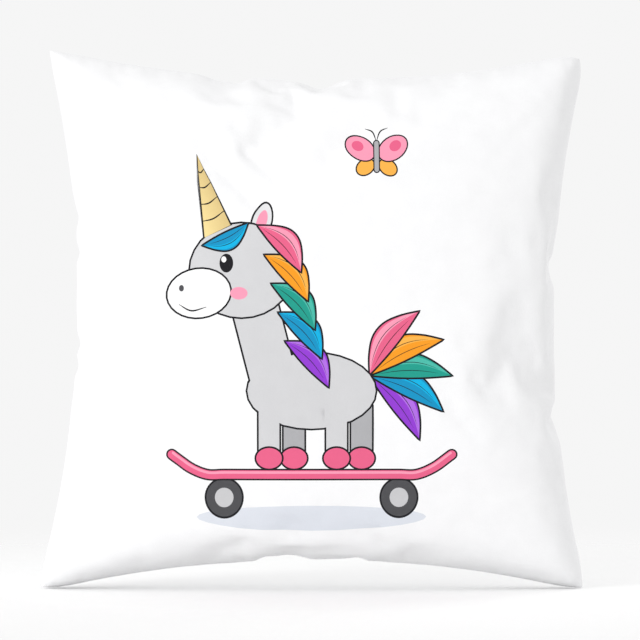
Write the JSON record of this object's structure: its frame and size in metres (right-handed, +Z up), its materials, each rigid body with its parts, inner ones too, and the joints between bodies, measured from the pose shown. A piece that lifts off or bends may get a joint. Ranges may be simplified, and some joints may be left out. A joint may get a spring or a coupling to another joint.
{
  "type": "throw cushion",
  "caption": "Square stuffed throw cushion: a two-panel printed zip cover with knife edges and pulled-in sides over a fibre-filled insert.",
  "frame": {"origin": "on the plane under the two lower corners, midway between them, in the middle of the thickness", "axes": "+Z up along the print, +X to the right seen from the printed front, +Y out of the back"},
  "size_m": [0.432, 0.137, 0.432],
  "materials": {
    "cover_cloth": "white short-nap polyester plush, print on the front panel",
    "thread": "white polyester sewing thread",
    "zip_tape": "white woven polyester tape",
    "zip_coil": "white nylon coil",
    "zip_metal": "nickel-plated zinc",
    "insert_cloth": "white nonwoven polypropylene",
    "fibre": "white hollow polyester fibre"
  },
  "bodies": {
    "cushion": {"front_panel": "cover_cloth", "back_panel_upper": "cover_cloth", "back_panel_lower": "cover_cloth", "edge_seam_thread": "thread", "zip_tape_upper": "zip_tape", "zip_tape_lower": "zip_tape", "zip_coil_upper": "zip_coil", "zip_coil_lower": "zip_coil", "zip_topstitch_upper": "thread", "zip_topstitch_lower": "thread", "zip_top_stop_upper": "zip_metal", "zip_top_stop_lower": "zip_metal", "zip_bottom_stop": "zip_metal", "zip_bar_tack_closed_end": "thread", "zip_bar_tack_open_end": "thread", "insert_front_panel": "insert_cloth", "insert_back_panel": "insert_cloth", "insert_seam_thread": "thread", "insert_closing_stitch": "thread", "fibre_fill": "fibre"},
    "zip_slider": {"zip_slider_body": "zip_metal"},
    "pull_tab": {"zip_pull_tab": "zip_metal"}
  },
  "joints": [
    {"name": "zip_slider_travel", "type": "hinge", "parent": "cushion", "child": "zip_slider", "pos_m": [0, -0.71572, 0.095], "axis": [0, 0, 1], "range_deg": [0, 22.6]},
    {"name": "pull_tab_swing", "type": "hinge", "parent": "zip_slider", "child": "pull_tab", "pos_m": [0.15251, 0.04675, 0.09451], "axis": [-0.0457, -0.2286, -0.9724], "range_deg": [0, 180]}
  ]
}
